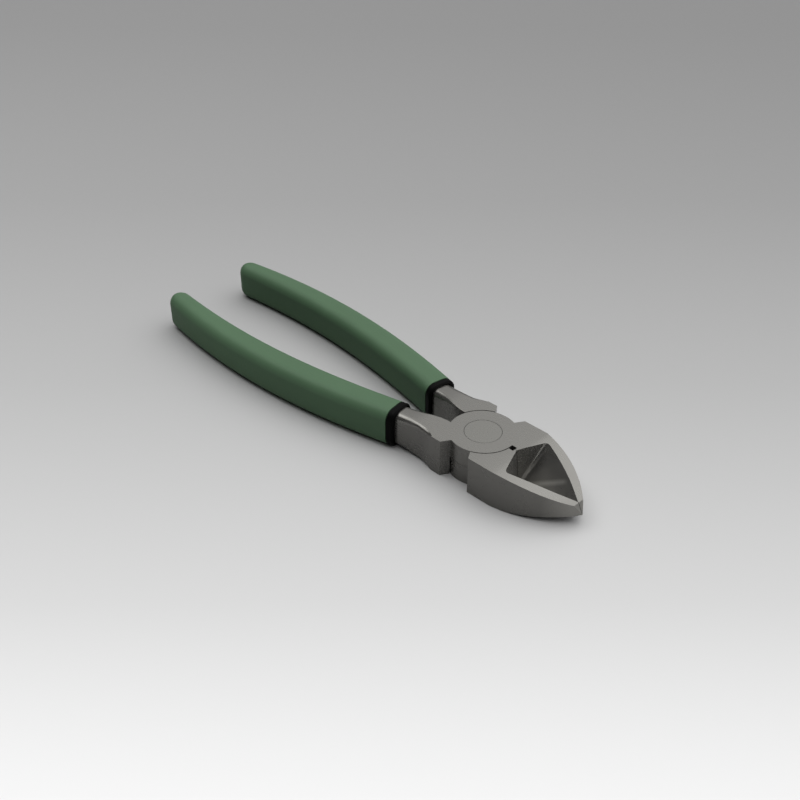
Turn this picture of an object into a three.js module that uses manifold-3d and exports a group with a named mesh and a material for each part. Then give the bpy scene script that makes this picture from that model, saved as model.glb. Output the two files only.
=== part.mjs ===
// Flush cut pliers: two forged half-lap levers on a flush rivet, with a soft grip cover and a black
// end collar on each handle. Millimetres, +Z up. The origin is on the rivet's axis in the plane that
// the tool lies on, +X runs to the jaw tip, and the jaws are closed.
import * as THREE from "three";
import { mergeVertices } from "three/addons/utils/BufferGeometryUtils.js";
import Module from "manifold-3d";

// ---- Driving dimensions ----
const GAP = 0.3; // clearance between touching pieces
const RUNNING_GAP = 0.1; // clearance of the hinge: around the rivet and between the lapped bosses
const JAW_GAP = 0.15; // clearance between the closed cutting edges

const BOSS_RADIUS = 10; // round lap boss of each lever
const HEAD_THICKNESS = 12;
const HEAD_HALF_WIDTH = 12.15;
const NOTCH_HALF_WIDTH = 5.3; // open notch beside the boss, at the head's outer edge
const NOTCH_FOOT = [3.6, 9.35]; // where the notch's edge meets the boss

const RIVET_HEAD_RADIUS = 5.4;
const RIVET_SHANK_RADIUS = 3.6;
const RIVET_HEAD_HEIGHT = 2.4;

// Jaws: the top falls away to the tip in a shallow curve from a crease, and the underside slopes up
// from another.
const TIP_X = 36.2;
const TOP_CREASE_X = 13.5;
const TOP_SLOPE = 0.115; // at the crease
const TOP_CURVATURE = 0.0073; // further fall for each squared millimetre from the crease
const NOSE_CREASE_X = 34.5; // from here the top drops steeply
const NOSE_SLOPE = 2;
const BOTTOM_CREASE_X = 19;
const BOTTOM_SLOPE = 0.177;
const JAW_CURVE = [[23, 10.6], [30.7, 6.8]]; // control points of the jaw's side, from crease to tip

// Relief pocket above the cutting edges: a back wall, and a bevel in two facets that rises from the
// edge to the pocket's rim. Both facets start at the foot of the back wall, on the cutting edge, and
// the rim is given on the +Y side by X and Y.
const EDGE_HEIGHT = 0.3; // at the foot, just above the underside; the edge rises towards the tip
const POCKET_BACK_X = 12.4;
const POCKET_WALL_ANGLE = THREE.MathUtils.degToRad(69); // between the back wall and X, seen from above
const POCKET_WALL_LEAN = 0.12;
const POCKET_WALL_FILLET = 1.3;
const POCKET_FACET_FILLET = 25;
const RIM_BACK = [17, 8.9];
const RIM_BREAK = [28.9, 3.4];
const RIM_TIP = [34.3, 0];
const RELEASE_HOLE = { back: 10, front: 11.8, halfWidth: 0.9 };

// Handles. The centreline is one Bezier curve for the +Y handle, from inside the collar to the end.
const HANDLE_CURVE = [[-22, 8.2], [-50.5, 15.3], [-83.5, 21], [-127.4, 14.6]];
const COLLAR_TILT = THREE.MathUtils.degToRad(9); // of its end planes, from straight across the tool
const TILT_BLEND = 22; // length over which sections turn from the collar's tilt to square on the curve
const GRIP_WIDTHS = [9.8, 10.6, 7.4]; // quadratic blend along the handle
const GRIP_HEIGHT = 12.4;
const GRIP_EDGE_RADIUS = 3.2;
const GRIP_END_EDGE_RADIUS = 2.8;
const COLLAR_FRONT = 1.9; // distances along the centreline
const COLLAR_BACK = 4;
const COLLAR_TAIL_END = 40;
const COLLAR_TAIL_WALL = 0.9;
const COLLAR_CHAMFER = 0.5;
const CORE_WIDTH = 5; // steel strap inside the grip
const CORE_HEIGHT = 7.4;
const CORE_EDGE_RADIUS = 1.2;
const CORE_END = 97;

// Steel neck between the head and the collar, for the +Y side:
// X, inner edge's Y, outer edge's Y, inner corner radius, outer corner radius, height.
const NECK_STATIONS = [
  [-7, 3.3, 12.15, 0.1, 0.1, 12],
  [-8.8, 3.2, 12.1, 0.1, 0.3, 12],
  [-10.8, 3.2, 11.8, 0.1, 1.1, 12],
  [-13, 3.4, 11.3, 0.3, 1.5, 12],
  [-15.5, 3.8, 11.15, 0.7, 1.6, 12],
  [-18.5, 4.5, 11.3, 1.3, 1.9, 11.8],
  [-21, 4.8, 11.6, 1.8, 2.2, 11.5],
  [-24.6, 5, 12.2, 2.3, 2.6, 11.1],
];

const CORNER_SEGMENTS = 5;
const TOP_SEGMENTS = 10; // of the jaws' curved top
const MID_HEIGHT = HEAD_THICKNESS / 2;

// ---- Solids ----
const wasm = await Module();
wasm.setup();

function solidFrom(geometry) {
  const bare = geometry.index ? geometry.toNonIndexed() : geometry.clone();
  for (const name of Object.keys(bare.attributes)) {
    if (name !== "position") bare.deleteAttribute(name);
  }
  const merged = mergeVertices(bare, 1e-4);
  return new wasm.Manifold(
    new wasm.Mesh({
      numProp: 3,
      vertProperties: merged.attributes.position.array,
      triVerts: new Uint32Array(merged.index.array),
    }),
  );
}

function geometryFrom(solid) {
  const mesh = solid.getMesh();
  const geometry = new THREE.BufferGeometry();
  geometry.setAttribute("position", new THREE.BufferAttribute(mesh.vertProperties, 3));
  geometry.setIndex(new THREE.BufferAttribute(mesh.triVerts, 1));
  geometry.computeVertexNormals();
  return geometry;
}

// The same solid on the other side of the XZ plane, with its faces turned to point out again.
function mirrored(solid) {
  const geometry = geometryFrom(solid).scale(1, -1, 1);
  geometry.setIndex(Array.from(geometry.index.array).reverse());
  return solidFrom(geometry);
}

// Closed skin over a row of rings of equal length, with a flat cap on each end. The rings run
// anticlockwise when seen from in front of the first one.
function skin(rings) {
  const perRing = rings[0].length;
  const positions = rings.flat().flatMap((point) => point.toArray());
  const triangles = [];
  for (let ring = 0; ring + 1 < rings.length; ring += 1) {
    for (let i = 0; i < perRing; i += 1) {
      const a = ring * perRing + i;
      const b = ring * perRing + ((i + 1) % perRing);
      triangles.push(a, a + perRing, b);
      triangles.push(b, a + perRing, b + perRing);
    }
  }
  const last = (rings.length - 1) * perRing;
  for (let i = 1; i + 1 < perRing; i += 1) {
    triangles.push(0, i, i + 1);
    triangles.push(last, last + i + 1, last + i);
  }
  const geometry = new THREE.BufferGeometry();
  geometry.setAttribute("position", new THREE.Float32BufferAttribute(positions, 3));
  geometry.setIndex(triangles);
  return solidFrom(geometry);
}

function extruded(shape, bottom, top, curveSegments = 12) {
  const options = { depth: top - bottom, bevelEnabled: false, curveSegments };
  return solidFrom(new THREE.ExtrudeGeometry(shape, options).translate(0, 0, bottom));
}

function disc(radius, bottom, top, segments = 72) {
  const geometry = new THREE.CylinderGeometry(radius, radius, top - bottom, segments);
  geometry.rotateX(Math.PI / 2);
  return solidFrom(geometry.translate(0, 0, (top + bottom) / 2));
}

// Rectangle with a rounded corner of its own on each side, in the plane of across and up.
// The outer side is the one that across points to.
function roundedRing(centre, across, { inner, outer, bottom, top, innerRadius, outerRadius }) {
  const corners = [
    [outer - outerRadius, bottom + outerRadius, outerRadius, -Math.PI / 2],
    [outer - outerRadius, top - outerRadius, outerRadius, 0],
    [inner + innerRadius, top - innerRadius, innerRadius, Math.PI / 2],
    [inner + innerRadius, bottom + innerRadius, innerRadius, Math.PI],
  ];
  const ring = [];
  for (const [x, z, radius, start] of corners) {
    for (let i = 0; i <= CORNER_SEGMENTS; i += 1) {
      const angle = start + (Math.PI / 2) * (i / CORNER_SEGMENTS);
      const point = centre.clone().addScaledVector(across, x + radius * Math.cos(angle));
      point.z = z + radius * Math.sin(angle);
      ring.push(point);
    }
  }
  return ring;
}

// ---- Handles, all for the +Y side ----
const handleCurve = new THREE.CubicBezierCurve(...HANDLE_CURVE.map(([x, y]) => new THREE.Vector2(x, y)));
const HANDLE_LENGTH = handleCurve.getLength();

function handleFrame(distance) {
  const share = THREE.MathUtils.clamp(distance / HANDLE_LENGTH, 0, 1);
  const point = handleCurve.getPointAt(share);
  const along = handleCurve.getTangentAt(share);
  const squareTilt = Math.atan2(along.y, -along.x);
  const turned = THREE.MathUtils.smoothstep(distance, COLLAR_BACK, COLLAR_BACK + TILT_BLEND);
  const tilt = THREE.MathUtils.lerp(COLLAR_TILT, squareTilt, turned);
  return {
    share,
    centre: new THREE.Vector3(point.x, point.y, 0),
    across: new THREE.Vector3(Math.sin(tilt), Math.cos(tilt), 0),
  };
}

function gripWidth(share) {
  const [start, middle, end] = GRIP_WIDTHS;
  return start * (1 - share) ** 2 + 2 * middle * share * (1 - share) + end * share ** 2;
}

// Distances from one place to another in even steps of about the given length.
function steps(from, to, length) {
  const count = Math.max(1, Math.round((to - from) / length));
  return Array.from({ length: count + 1 }, (_, i) => from + ((to - from) * i) / count);
}

// Solid along the handle whose half width and vertical extent come from a function of the distance.
function handleSolid(distances, section) {
  return skin(
    distances.map((distance) => {
      const { share, centre, across } = handleFrame(distance);
      const { halfWidth, bottom, top, radius } = section(distance, share);
      return roundedRing(centre, across, {
        inner: -halfWidth,
        outer: halfWidth,
        bottom,
        top,
        innerRadius: radius,
        outerRadius: radius,
      });
    }),
  );
}

// Outer skin of the collar and the grip, drawn in by an inset.
function gripSection(share, inset = 0) {
  return {
    halfWidth: gripWidth(share) / 2 - inset,
    bottom: inset,
    top: GRIP_HEIGHT - inset,
    radius: GRIP_EDGE_RADIUS - inset,
  };
}

function coreSolid(from, to, margin) {
  const halfHeight = CORE_HEIGHT / 2 + margin;
  return handleSolid(steps(from, to, 6), () => ({
    halfWidth: CORE_WIDTH / 2 + margin,
    bottom: MID_HEIGHT - halfHeight,
    top: MID_HEIGHT + halfHeight,
    radius: CORE_EDGE_RADIUS + margin,
  }));
}

function neckSolid(margin) {
  const last = NECK_STATIONS.length - 1;
  const rings = NECK_STATIONS.map(([x, inner, outer, innerRadius, outerRadius, height], i) =>
    roundedRing(new THREE.Vector3(i === last ? x - margin : x, 0, 0), new THREE.Vector3(0, 1, 0), {
      inner: inner - margin,
      outer: outer + margin,
      bottom: MID_HEIGHT - height / 2 - margin,
      top: MID_HEIGHT + height / 2 + margin,
      innerRadius: innerRadius + margin,
      outerRadius: outerRadius + margin,
    }),
  );
  return skin(rings);
}

// The rounded end: the width closes in a half circle and the height in a tighter quarter circle.
function gripSolid() {
  const front = COLLAR_BACK + GAP;
  const endRadius = gripWidth(1) / 2;
  const roundStart = HANDLE_LENGTH - endRadius;
  const roundSteps = [0, 15, 30, 45, 60, 75, 87].map(
    (angle) => roundStart + endRadius * Math.sin(THREE.MathUtils.degToRad(angle)),
  );
  const distances = [...steps(front, roundStart, 5).slice(0, -1), ...roundSteps];
  const outer = handleSolid(distances, (distance, share) => {
    const section = gripSection(share);
    const past = Math.max(0, distance - roundStart) / endRadius;
    const fromEnd = Math.max(0, GRIP_END_EDGE_RADIUS - (HANDLE_LENGTH - distance));
    const drop = GRIP_END_EDGE_RADIUS - Math.sqrt(GRIP_END_EDGE_RADIUS ** 2 - fromEnd ** 2);
    const halfWidth = section.halfWidth * Math.sqrt(1 - past ** 2);
    return {
      halfWidth,
      bottom: section.bottom + drop,
      top: section.top - drop,
      radius: Math.min(section.radius, 0.98 * halfWidth),
    };
  });
  const bore = coreSolid(front - 1, CORE_END + GAP, GAP);
  const tailSeat = coreSolid(front - 1, COLLAR_TAIL_END + GAP, COLLAR_TAIL_WALL + 2 * GAP);
  return outer.subtract(bore).subtract(tailSeat);
}

// Black collar that ends the grip, with a tail that reaches back inside it.
function collarSolid() {
  const rim = COLLAR_FRONT + COLLAR_CHAMFER;
  const ring = handleSolid([COLLAR_FRONT, rim, COLLAR_BACK], (distance, share) =>
    gripSection(share, distance < rim ? COLLAR_CHAMFER : 0),
  );
  const tail = coreSolid(rim, COLLAR_TAIL_END, COLLAR_TAIL_WALL + GAP);
  const bore = coreSolid(COLLAR_FRONT - 1, COLLAR_TAIL_END + 1, GAP);
  return ring.add(tail).subtract(bore).subtract(neckSolid(GAP));
}

// ---- Head ----
// Shoulder of the +Y neck, from the last neck section to the notch and into the boss.
function shoulderSolid() {
  const [x, inner, outer] = NECK_STATIONS[1];
  const shape = new THREE.Shape();
  shape.moveTo(x, inner);
  shape.lineTo(-NOTCH_FOOT[0] - 1, inner);
  shape.lineTo(-NOTCH_FOOT[0], NOTCH_FOOT[1]);
  shape.lineTo(-NOTCH_HALF_WIDTH, HEAD_HALF_WIDTH);
  shape.lineTo(x, outer);
  return extruded(shape, 0, HEAD_THICKNESS);
}

// Everything on the side of a plane that its normal points to, as a block much larger than the head.
function halfSpace(point, normal) {
  const size = 160;
  const geometry = new THREE.BoxGeometry(size, size, size).translate(0, 0, size / 2);
  const up = new THREE.Vector3(0, 0, 1);
  const turn = new THREE.Quaternion().setFromUnitVectors(up, normal.clone().normalize());
  return solidFrom(geometry.applyQuaternion(turn).translate(point.x, point.y, point.z));
}

// The space above two planes that meet in a valley, with the valley rounded.
function roundedValley(corner, firstNormal, secondNormal, radius) {
  const first = firstNormal.clone().normalize();
  const second = secondNormal.clone().normalize();
  const valley = new THREE.Vector3().crossVectors(first, second).normalize();
  const overSecond = new THREE.Vector3().crossVectors(second, valley).normalize();
  const angle = Math.PI - first.angleTo(second);
  const reach = 60;
  const tangent = radius / Math.tan(angle / 2);
  const shape = new THREE.Shape();
  shape.moveTo(reach, 0);
  shape.lineTo(reach, reach);
  shape.lineTo(reach * Math.cos(angle), reach);
  shape.lineTo(reach * Math.cos(angle), reach * Math.sin(angle));
  shape.lineTo(tangent * Math.cos(angle), tangent * Math.sin(angle));
  shape.absarc(tangent, radius, radius, angle + Math.PI / 2, 1.5 * Math.PI, false);
  const geometry = new THREE.ExtrudeGeometry(shape, {
    depth: 2 * reach,
    bevelEnabled: false,
    curveSegments: 6,
  }).translate(0, 0, -reach);
  const axes = new THREE.Matrix4().makeBasis(overSecond, second, valley);
  return solidFrom(geometry.applyMatrix4(axes).translate(corner.x, corner.y, corner.z));
}

function topHeight(x) {
  const past = Math.max(0, x - TOP_CREASE_X);
  return HEAD_THICKNESS - TOP_SLOPE * past - TOP_CURVATURE * past ** 2;
}

// The space above the jaws, with the curved top as its floor.
function aboveJaws() {
  const halfSpan = 20;
  const end = TIP_X + 2;
  const middle = (TOP_CREASE_X + end) / 2;
  const shape = new THREE.Shape();
  shape.moveTo(TOP_CREASE_X, HEAD_THICKNESS);
  shape.quadraticCurveTo(
    middle,
    HEAD_THICKNESS - TOP_SLOPE * (middle - TOP_CREASE_X),
    end,
    topHeight(end),
  );
  shape.lineTo(end, HEAD_THICKNESS + 1);
  shape.lineTo(TOP_CREASE_X, HEAD_THICKNESS + 1);
  const options = { depth: 2 * halfSpan, bevelEnabled: false, curveSegments: TOP_SEGMENTS };
  const geometry = new THREE.ExtrudeGeometry(shape, options).translate(0, 0, -halfSpan);
  return solidFrom(geometry.rotateX(Math.PI / 2));
}

function onRim([x, y]) {
  return new THREE.Vector3(x, y, topHeight(x));
}

function planeNormal(a, b, c) {
  return new THREE.Plane().setFromCoplanarPoints(a, b, c).normal;
}

// The +Y half of the relief pocket, as the space to cut away.
function pocketSpace() {
  const lean = (POCKET_WALL_LEAN * (HEAD_THICKNESS - EDGE_HEIGHT)) / Math.sin(POCKET_WALL_ANGLE);
  const foot = new THREE.Vector3(POCKET_BACK_X + lean, 0, EDGE_HEIGHT);
  const wallNormal = new THREE.Vector3(
    Math.sin(POCKET_WALL_ANGLE),
    -Math.cos(POCKET_WALL_ANGLE),
    POCKET_WALL_LEAN,
  );
  const backFacet = planeNormal(foot, onRim(RIM_BREAK), onRim(RIM_BACK));
  const tipFacet = planeNormal(foot, onRim(RIM_TIP), onRim(RIM_BREAK));
  const back = roundedValley(foot, wallNormal, backFacet, POCKET_WALL_FILLET);
  return back.intersect(roundedValley(foot, backFacet, tipFacet, POCKET_FACET_FILLET));
}

// Full-height jaw on the +Y side, closed against the XZ plane.
function jawSolid() {
  const shape = new THREE.Shape();
  shape.moveTo(NOTCH_FOOT[0] - 1, JAW_GAP / 2);
  shape.lineTo(TIP_X, JAW_GAP / 2);
  shape.bezierCurveTo(...JAW_CURVE[1], ...JAW_CURVE[0], TOP_CREASE_X, HEAD_HALF_WIDTH);
  shape.lineTo(NOTCH_HALF_WIDTH, HEAD_HALF_WIDTH);
  shape.lineTo(...NOTCH_FOOT);
  shape.lineTo(NOTCH_FOOT[0] - 1, NOTCH_FOOT[1] - 2);
  const nose = new THREE.Vector3(NOSE_CREASE_X, 0, topHeight(NOSE_CREASE_X));
  const underside = new THREE.Vector3(BOTTOM_CREASE_X, 0, 0);
  return extruded(shape, 0, HEAD_THICKNESS, 16)
    .subtract(aboveJaws())
    .subtract(halfSpace(nose, new THREE.Vector3(NOSE_SLOPE, 0, 1)))
    .subtract(halfSpace(underside, new THREE.Vector3(BOTTOM_SLOPE, 0, -1)))
    .subtract(pocketSpace());
}

function releaseHole() {
  const { back, front, halfWidth } = RELEASE_HOLE;
  const geometry = new THREE.BoxGeometry(front - back, 2 * halfWidth, 3 * HEAD_THICKNESS);
  return solidFrom(geometry.translate((front + back) / 2, 0, 0));
}

// Rivet profile, grown by a margin for the hole that it sits in.
function rivetSolid(margin) {
  const seat = RIVET_HEAD_HEIGHT + margin;
  const ends = margin > 0 ? [-1, HEAD_THICKNESS + 1] : [0, HEAD_THICKNESS];
  const profile = [
    [0, ends[0]],
    [RIVET_HEAD_RADIUS + margin, ends[0]],
    [RIVET_HEAD_RADIUS + margin, seat],
    [RIVET_SHANK_RADIUS + margin, seat],
    [RIVET_SHANK_RADIUS + margin, HEAD_THICKNESS - seat],
    [RIVET_HEAD_RADIUS + margin, HEAD_THICKNESS - seat],
    [RIVET_HEAD_RADIUS + margin, ends[1]],
    [0, ends[1]],
  ].map(([radius, z]) => new THREE.Vector2(radius, z));
  return solidFrom(new THREE.LatheGeometry(profile, 48).rotateX(Math.PI / 2));
}

// One lever: handle and neck on one side, jaw on the other, joined by a boss of half the thickness.
// The other half is cut back for the boss of the other lever.
function leverSolid(handleSide, boss, pocket) {
  const handle = neckSolid(0).add(shoulderSolid()).add(coreSolid(0, CORE_END, 0));
  const jaw = jawSolid();
  return (handleSide > 0 ? handle : mirrored(handle))
    .add(handleSide > 0 ? mirrored(jaw) : jaw)
    .subtract(disc(BOSS_RADIUS + GAP, ...pocket))
    .add(disc(BOSS_RADIUS, ...boss))
    .subtract(releaseHole())
    .subtract(rivetSolid(RUNNING_GAP));
}

// ---- Assembly ----
const steel = { color: 0x84847a, roughness: 0.42, metalness: 1 };
const brightSteel = { color: 0x8a8a80, roughness: 0.4, metalness: 1 };
const greenGrip = { color: 0x5d7c5f, roughness: 0.55, metalness: 0 };
const blackCollar = { color: 0x111111, roughness: 0.5, metalness: 0 };

const pliers = new THREE.Group();

function addPiece(name, solid, finish) {
  const piece = new THREE.Mesh(geometryFrom(solid), new THREE.MeshStandardMaterial(finish));
  piece.name = name;
  pliers.add(piece);
}

const lowerHalf = [0, MID_HEIGHT - RUNNING_GAP / 2];
const upperHalf = [MID_HEIGHT + RUNNING_GAP / 2, HEAD_THICKNESS];
const belowAll = [-1, MID_HEIGHT + RUNNING_GAP / 2];
const aboveAll = [MID_HEIGHT - RUNNING_GAP / 2, HEAD_THICKNESS + 1];

addPiece("upper_lever", leverSolid(-1, upperHalf, belowAll), steel);
addPiece("lower_lever", leverSolid(1, lowerHalf, aboveAll), steel);
addPiece("pivot_rivet", rivetSolid(0), brightSteel);

const grip = gripSolid();
const collar = collarSolid();
addPiece("right_grip", mirrored(grip), greenGrip);
addPiece("left_grip", grip, greenGrip);
addPiece("right_collar", mirrored(collar), blackCollar);
addPiece("left_collar", collar, blackCollar);

export default pliers;
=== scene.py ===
# Looks for the flush cut pliers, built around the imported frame: satin forged steel, soft green grips
# and black collars, on pale paper under a broad overhead glow and one softbox. Metres.
import math

import bpy
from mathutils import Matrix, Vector

MM = 0.001

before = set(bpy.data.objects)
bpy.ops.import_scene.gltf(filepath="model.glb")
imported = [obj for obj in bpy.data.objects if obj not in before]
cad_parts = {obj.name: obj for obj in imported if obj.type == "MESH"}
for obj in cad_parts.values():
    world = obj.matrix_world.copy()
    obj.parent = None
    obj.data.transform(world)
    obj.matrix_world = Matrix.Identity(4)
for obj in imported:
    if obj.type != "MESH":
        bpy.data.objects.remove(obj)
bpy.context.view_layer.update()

# ---- Camera, at the reference viewing angle ----
CAMERA_PLACE = (161.5 * MM, -194.8 * MM, 201.0 * MM)
CAMERA_AIM = (-1.0, 1.0, -1.0)
CAMERA_LENS = 50
CAMERA_SENSOR = 36
CAMERA_NEAR = 0.005
CAMERA_FAR = 40

camera_data = bpy.data.cameras.new("camera")
camera_data.lens = CAMERA_LENS
camera_data.sensor_width = CAMERA_SENSOR
camera_data.clip_start = CAMERA_NEAR
camera_data.clip_end = CAMERA_FAR
camera = bpy.data.objects.new("camera", camera_data)
camera.location = CAMERA_PLACE
camera.rotation_mode = "QUATERNION"
camera.rotation_quaternion = Vector(CAMERA_AIM).to_track_quat("-Z", "Y")
bpy.context.scene.collection.objects.link(camera)
bpy.context.scene.camera = camera
bpy.context.scene.view_settings.view_transform = "Standard"


# ---- Node helpers ----
# A Mix node has sockets of the same name for each data type. These are the numbers of the colour ones.
MIX_COLOUR_A, MIX_COLOUR_B, MIX_COLOUR_RESULT = 6, 7, 2


class Nodes:
    """A node tree under construction. add() takes a node type, its settings and its inputs."""

    def __init__(self, tree):
        self.tree = tree
        tree.nodes.clear()

    def add(self, kind, settings=None, **inputs):
        node = self.tree.nodes.new(kind)
        for key, value in (settings or {}).items():
            setattr(node, key, value)
        for key, value in inputs.items():
            self.feed(node.inputs[key.replace("_", " ")], value)
        return node

    def feed(self, socket, value):
        if isinstance(value, bpy.types.NodeSocket):
            self.tree.links.new(value, socket)
        else:
            socket.default_value = value

    def noise(self, vector, scale, detail=3.0, roughness=0.55):
        return self.add(
            "ShaderNodeTexNoise", Vector=vector, Scale=scale, Detail=detail, Roughness=roughness
        ).outputs["Fac"]

    def stretched(self, vector, scale):
        return self.add("ShaderNodeMapping", Vector=vector, Scale=scale).outputs["Vector"]

    def split(self, vector):
        return self.add("ShaderNodeSeparateXYZ", Vector=vector).outputs

    def remap(self, value, source, target=(0, 1)):
        """The value stretched from the source range to the target range, and held within it."""
        node = self.add("ShaderNodeMapRange", Value=value)
        node.inputs["From Min"].default_value, node.inputs["From Max"].default_value = source
        node.inputs["To Min"].default_value, node.inputs["To Max"].default_value = target
        return node.outputs["Result"]

    def math(self, operation, a, b=0.0):
        node = self.add("ShaderNodeMath", {"operation": operation})
        self.feed(node.inputs[0], a)
        self.feed(node.inputs[1], b)
        return node.outputs["Value"]

    def vector(self, operation, a, b=None):
        """The outputs of a vector operation, whose result is in "Vector" or in "Value"."""
        node = self.add("ShaderNodeVectorMath", {"operation": operation})
        self.feed(node.inputs[0], a)
        if b is not None:
            self.feed(node.inputs[1], b)
        return node.outputs

    def mix(self, factor, a, b):
        node = self.add("ShaderNodeMix", {"data_type": "RGBA"})
        self.feed(node.inputs[0], factor)
        self.feed(node.inputs[MIX_COLOUR_A], a)
        self.feed(node.inputs[MIX_COLOUR_B], b)
        return node.outputs[MIX_COLOUR_RESULT]

    def bump(self, height, strength, distance, normal=None):
        node = self.add("ShaderNodeBump", Height=height, Strength=strength, Distance=distance)
        if normal is not None:
            self.feed(node.inputs["Normal"], normal)
        return node.outputs["Normal"]


def new_material(name):
    material = bpy.data.materials.new(name)
    material.use_nodes = True
    return material, Nodes(material.node_tree)


def finish_material(nodes, **inputs):
    shader = nodes.add("ShaderNodeBsdfPrincipled", **inputs)
    output = nodes.add("ShaderNodeOutputMaterial")
    nodes.tree.links.new(shader.outputs["BSDF"], output.inputs["Surface"])


def brighter(colour, factor):
    return tuple(factor * channel for channel in colour[:3]) + (1,)


# ---- Object materials ----
# Painted highlight lines along the two valleys of each pocket half: start, end, half-width and
# strength, in mm.
# Both halves share them, mirrored across y = 0.
VALLEY_HIGHLIGHTS = [
    ((13.9, 0, 0.3), (17.0, 8.9, 12.1), 0.5, 0.55),
    ((13.9, 0, 0.3), (28.9, 3.4, 8.5), 1.1, 0.5),
]
VALLEY_CORE = 0.1  # share of the half-width at full strength
VALLEY_RISE = (1.5 * MM, 5 * MM)  # from the start of the line
VALLEY_FALL = (2.5 * MM, 0.8 * MM)  # from its end

# Ranges of the place along the tool, and of the surface normal, over which a mask rises.
JAW_X = (12 * MM, 24 * MM)
POCKET_X = (12 * MM, 13 * MM)
UPWARD_Z = (0.75, 0.9)
SLOPING_Z = (0.2, 0.4)
FLAT_Z = (0.75, 0.85)
TIPWARD_X = (0.5, 0.7)
FACET_HIGHLIGHT_SHARE = 0.2  # of the sloping facets, where the back wall has 1

# Colour factors of the painted highlights on the jaws, the pocket and its valleys.
JAW_HIGHLIGHT_BRIGHTNESS = 1.1
POCKET_HIGHLIGHT_BRIGHTNESS = 1.6
VALLEY_HIGHLIGHT_BRIGHTNESS = 3.2
STEEL_METALLIC = 0.76

STEEL_LIGHT = (0.139, 0.136, 0.127, 1)
STEEL_DARK = (0.133, 0.130, 0.121, 1)
RIVET_LIGHT = (0.140, 0.138, 0.128, 1)
RIVET_DARK = (0.136, 0.134, 0.124, 1)
DRAWN_GRAIN = (0.2, 3.0, 3.0)  # long lines along X
EVEN_GRAIN = (1.4, 1.4, 1.4)
GREEN_LIGHT = (0.0630, 0.1170, 0.0650, 1)
GREEN_DARK = (0.0560, 0.1040, 0.0580, 1)
BLACK_LIGHT = (0.0025, 0.0025, 0.0025, 1)
BLACK_DARK = (0.001, 0.001, 0.001, 1)

STEEL_ROUGHNESS = (0.23, 0.36)
GRIP_ROUGHNESS = (0.48, 0.62)
BLACK_ROUGHNESS = (0.42, 0.62)
PAPER_ROUGHNESS = (0.85, 0.95)
GRIP_SPECULAR = 0.15
BLACK_SPECULAR = 0.04
PAPER_SPECULAR = 0.1

# Where most values of one noise lie, of the sum of two, and of one with half of another.
NOISE_RANGE = (0.3, 0.7)
TWO_NOISES_RANGE = (0.7, 1.3)
TONE_RANGE = (0.5, 1.0)


def valley_highlight_mask(nodes, place):
    """1 on the painted highlight lines along the pocket valleys, fading to 0 at their half-width and
    towards both ends.
    """
    mirrored = nodes.vector("ABSOLUTE", place)["Vector"]
    total = None
    for start, end, half_width, strength in VALLEY_HIGHLIGHTS:
        start, end = Vector(start) * MM, Vector(end) * MM
        length = (end - start).length
        along = (end - start) / length
        offset = nodes.vector("SUBTRACT", mirrored, start)["Vector"]
        run = nodes.vector("DOT_PRODUCT", offset, along)["Value"]
        across = nodes.vector("CROSS_PRODUCT", offset, along)["Vector"]
        reach = nodes.vector("LENGTH", across)["Value"]
        line = nodes.remap(reach, (half_width * MM, VALLEY_CORE * half_width * MM), (0, strength))
        rise = nodes.remap(run, VALLEY_RISE)
        fall = nodes.remap(run, [length - distance for distance in VALLEY_FALL], (1, 0))
        band = nodes.math("MULTIPLY", line, nodes.math("MULTIPLY", rise, fall))
        total = band if total is None else nodes.math("MAXIMUM", total, band)
    return total


def jaw_highlight_mask(nodes, place, facing):
    """1 on the upward faces of the jaws towards the tip, where a highlight is painted, 0 on the head
    and the sides.
    """
    forward = nodes.remap(place["X"], JAW_X)
    upward = nodes.remap(facing["Z"], UPWARD_Z)
    return nodes.math("MULTIPLY", forward, upward)


def pocket_highlight_mask(nodes, place, facing):
    """Mask of the painted highlight: 1 on the back wall of the pocket, less on its sloping facets, 0 on
    the flat and upright faces.
    """
    forward = nodes.remap(place["X"], POCKET_X)
    sloping = nodes.remap(facing["Z"], SLOPING_Z, (0, FACET_HIGHLIGHT_SHARE))
    not_flat = nodes.remap(facing["Z"], FLAT_Z, (1, 0))
    towards_tip = nodes.remap(facing["X"], TIPWARD_X)
    highlighted = nodes.math("MAXIMUM", nodes.math("MULTIPLY", sloping, not_flat), towards_tip)
    return nodes.math("MULTIPLY", forward, highlighted)


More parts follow.
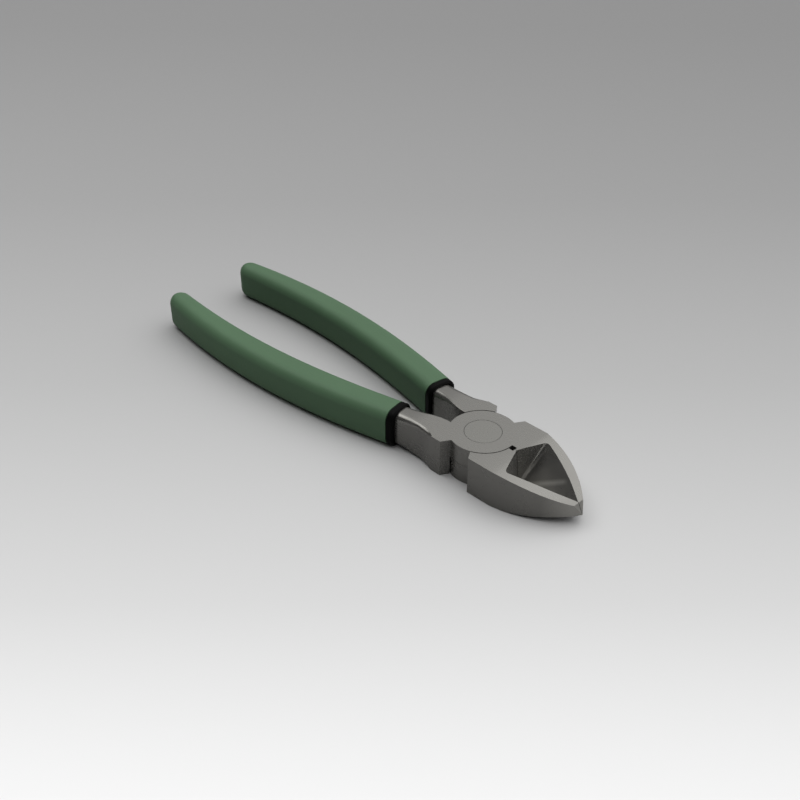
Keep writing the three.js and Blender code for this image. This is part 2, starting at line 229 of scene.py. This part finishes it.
def satin_steel(name, light, dark, grain_scale):
    """Lightly tumbled steel: fine grain, faint clouding, and painted highlights on the jaws, the pocket
    and its valleys.
    """
    material, nodes = new_material(name)
    coordinates = nodes.add("ShaderNodeTexCoord").outputs
    surface = coordinates["Object"]
    place, facing = nodes.split(surface), nodes.split(coordinates["Normal"])
    clouds = nodes.noise(surface, scale=90, detail=4)
    grain = nodes.noise(nodes.stretched(surface, grain_scale), scale=1000, detail=3, roughness=0.6)
    pits = nodes.noise(surface, scale=2600, detail=2)
    half_grain = nodes.math("MULTIPLY", grain, 0.5)
    tone = nodes.remap(nodes.math("ADD", clouds, half_grain), TONE_RANGE)
    colour = nodes.mix(tone, dark, light)
    # Painted highlight on the upward faces of the jaws.
    colour = nodes.mix(jaw_highlight_mask(nodes, place, facing), colour, brighter(light, JAW_HIGHLIGHT_BRIGHTNESS))
    # Painted highlight on the back wall and sloping facets of the pocket.
    colour = nodes.mix(pocket_highlight_mask(nodes, place, facing), colour, brighter(light, POCKET_HIGHLIGHT_BRIGHTNESS))
    # Painted highlight along the valleys of the pocket.
    colour = nodes.mix(valley_highlight_mask(nodes, surface), colour, brighter(light, VALLEY_HIGHLIGHT_BRIGHTNESS))
    rough = nodes.remap(nodes.math("ADD", clouds, grain), TWO_NOISES_RANGE, STEEL_ROUGHNESS)
    normal = nodes.bump(grain, strength=0.02, distance=0.03 * MM)
    normal = nodes.bump(pits, strength=0.012, distance=0.03 * MM, normal=normal)
    finish_material(
        nodes, Base_Color=colour, Metallic=STEEL_METALLIC, Roughness=rough, Normal=normal
    )
    return material


def soft_grip(name, light, dark):
    """Dipped soft grip: smooth and matte, with faint clouding and a fine skin texture."""
    material, nodes = new_material(name)
    place = nodes.add("ShaderNodeTexCoord").outputs["Object"]
    clouds = nodes.noise(place, scale=45, detail=4)
    skin = nodes.noise(place, scale=1800, detail=3)
    ripple = nodes.noise(place, scale=240, detail=2)
    colour = nodes.mix(nodes.remap(clouds, NOISE_RANGE), dark, light)
    rough = nodes.remap(nodes.math("ADD", clouds, skin), TWO_NOISES_RANGE, GRIP_ROUGHNESS)
    normal = nodes.bump(ripple, strength=0.08, distance=0.3 * MM)
    normal = nodes.bump(skin, strength=0.12, distance=0.06 * MM, normal=normal)
    finish_material(
        nodes, Base_Color=colour, Roughness=rough, Normal=normal, Specular_IOR_Level=GRIP_SPECULAR
    )
    return material


def moulded_black(name, light, dark):
    """Black moulded plastic with a fine spark-eroded texture."""
    material, nodes = new_material(name)
    place = nodes.add("ShaderNodeTexCoord").outputs["Object"]
    clouds = nodes.noise(place, scale=120, detail=3)
    grain = nodes.noise(place, scale=3200, detail=2)
    colour = nodes.mix(clouds, dark, light)
    rough = nodes.remap(grain, NOISE_RANGE, BLACK_ROUGHNESS)
    normal = nodes.bump(grain, strength=0.06, distance=0.04 * MM)
    finish_material(
        nodes, Base_Color=colour, Roughness=rough, Normal=normal, Specular_IOR_Level=BLACK_SPECULAR
    )
    return material


steel = satin_steel("steel_satin", STEEL_LIGHT, STEEL_DARK, DRAWN_GRAIN)
rivet = satin_steel("rivet_satin", RIVET_LIGHT, RIVET_DARK, EVEN_GRAIN)
green = soft_grip("grip_green", GREEN_LIGHT, GREEN_DARK)
black = moulded_black("collar_black", BLACK_LIGHT, BLACK_DARK)

# Material of each CAD node, and the width that its sharp edges are rounded over.
FINISHES = {
    "upper_lever": (steel, 0.32 * MM),
    "lower_lever": (steel, 0.32 * MM),
    "pivot_rivet": (rivet, 0.04 * MM),
    "right_grip": (green, 0.3 * MM),
    "left_grip": (green, 0.3 * MM),
    "right_collar": (black, 0.2 * MM),
    "left_collar": (black, 0.2 * MM),
}
WELD_DISTANCE = 1e-6
FLAT_ANGLE = 0.006  # faces that turn less than this are merged, in radians
SHARP_ANGLE = 0.6  # edges that turn more than this are rounded
ROUNDING_SEGMENTS = 3
FLAT_FACE_WEIGHT = 90


def round_edges(piece, width):
    """Joined vertices, softly rounded sharp edges, and flat faces that stay flat."""
    weld = piece.modifiers.new("weld", "WELD")
    weld.merge_threshold = WELD_DISTANCE
    flat = piece.modifiers.new("merge_flat", "DECIMATE")
    flat.decimate_type = "DISSOLVE"
    flat.angle_limit = FLAT_ANGLE
    bevel = piece.modifiers.new("round", "BEVEL")
    bevel.width = width
    bevel.segments = ROUNDING_SEGMENTS
    bevel.limit_method = "ANGLE"
    bevel.angle_limit = SHARP_ANGLE
    bevel.use_clamp_overlap = True
    weighted = piece.modifiers.new("shade", "WEIGHTED_NORMAL")
    weighted.keep_sharp = False
    weighted.weight = FLAT_FACE_WEIGHT


for name, (material, width) in FINISHES.items():
    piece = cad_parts[name]
    piece.data.materials.clear()
    piece.data.materials.append(material)
    for polygon in piece.data.polygons:
        polygon.use_smooth = True
    round_edges(piece, width)

# ---- Floor ----
FLOOR_RINGS = [(4.0, 0.0), (4.4, 0.05), (4.75, 0.2), (5.0, 0.42), (5.15, 0.7)]  # radius and height
FLOOR_SIDES = 72
FLOOR_LEVEL = -0.05 * MM
# Painted shade on the floor: the paper's colour darkens away from the tool in place of the fall of the
# light.
PAINTED_FALLOFF_RANGE = (-0.12, 0.42)  # the paper darkens from the near side of the tool to the far side, in metres
PAINTED_FALLOFF_STOPS = [(0.0, 0.72), (0.12, 0.485), (0.3, 0.34), (0.55, 0.248), (1.0, 0.205)]
DIAGONAL = 0.7071  # turns Y - X into a distance


def floor_mesh():
    """A flat disc whose far rim curves up, so that low views still end on paper."""
    mesh = bpy.data.meshes.new("floor")
    points = []
    for radius, rise in FLOOR_RINGS:
        for side in range(FLOOR_SIDES):
            turn = 2 * math.pi * side / FLOOR_SIDES
            points.append((radius * math.cos(turn), radius * math.sin(turn), rise))
    faces = [tuple(range(FLOOR_SIDES))]
    for ring in range(len(FLOOR_RINGS) - 1):
        for side in range(FLOOR_SIDES):
            a = ring * FLOOR_SIDES + side
            b = ring * FLOOR_SIDES + (side + 1) % FLOOR_SIDES
            faces.append((a, a + FLOOR_SIDES, b + FLOOR_SIDES, b))
    mesh.from_pydata(points, [], faces)
    for polygon in mesh.polygons[1:]:
        polygon.use_smooth = True
    return mesh


def floor_paper():
    """Matte paper whose colour darkens away from the near side of the tool: painted shade for the fall
    of the light.
    """
    material, nodes = new_material("floor_paper")
    surface = nodes.add("ShaderNodeTexCoord").outputs["Object"]
    place = nodes.split(surface)
    away = nodes.math("SUBTRACT", place["Y"], place["X"])
    painted_falloff = nodes.remap(nodes.math("MULTIPLY", away, DIAGONAL), PAINTED_FALLOFF_RANGE)
    ramp = nodes.add("ShaderNodeValToRGB", Fac=painted_falloff)
    stops = ramp.color_ramp
    stops.interpolation = "B_SPLINE"
    while len(stops.elements) < len(PAINTED_FALLOFF_STOPS):
        stops.elements.new(1.0)
    for element, (position, value) in zip(stops.elements, PAINTED_FALLOFF_STOPS):
        element.position = position
        element.color = (value, value, value, 1)
    rough = nodes.remap(nodes.noise(surface, scale=500), NOISE_RANGE, PAPER_ROUGHNESS)
    finish_material(
        nodes, Base_Color=ramp.outputs["Color"], Roughness=rough, Specular_IOR_Level=PAPER_SPECULAR
    )
    return material


floor = bpy.data.objects.new("floor", floor_mesh())
floor.location.z = FLOOR_LEVEL
floor.data.materials.append(floor_paper())
bpy.context.scene.collection.objects.link(floor)

# ---- Light ----
SOFTBOX_PLACE = (-0.41, -0.1, 0.56)
SOFTBOX_AIM = (-0.03, 0, 0)
SOFTBOX_SIZE = 0.31
SOFTBOX_POWER = 1.15

softbox_data = bpy.data.lights.new("softbox_left", "AREA")
softbox_data.shape = "RECTANGLE"
softbox_data.size = SOFTBOX_SIZE
softbox_data.size_y = SOFTBOX_SIZE
softbox_data.energy = SOFTBOX_POWER
softbox = bpy.data.objects.new("softbox_left", softbox_data)
softbox.location = SOFTBOX_PLACE
softbox.rotation_mode = "QUATERNION"
softbox.rotation_quaternion = (Vector(SOFTBOX_AIM) - Vector(SOFTBOX_PLACE)).to_track_quat("-Z", "Y")
bpy.context.scene.collection.objects.link(softbox)

# Studio ceiling: a broad overhead glow that falls off to dim walls.
GLOW_AIM = Vector((0.1, 0.38, 0.92)).normalized()
GLOW_SPREAD = (0.38, 1.0)  # cosine of the angle from the aim, at the edge of the glow and at its middle
GLOW_STRENGTH = (0.03, 2.62)  # there

world = bpy.data.worlds.new("studio")
world.use_nodes = True
sky = Nodes(world.node_tree)
toward = sky.add("ShaderNodeTexCoord").outputs["Generated"]
nearness = sky.vector("DOT_PRODUCT", toward, GLOW_AIM)["Value"]
glow = sky.remap(nearness, GLOW_SPREAD, GLOW_STRENGTH)
glow.node.interpolation_type = "SMOOTHSTEP"
background = sky.add("ShaderNodeBackground", Color=(1, 1, 1, 1), Strength=glow)
world_output = sky.add("ShaderNodeOutputWorld")
sky.tree.links.new(background.outputs["Background"], world_output.inputs["Surface"])
bpy.context.scene.world = world
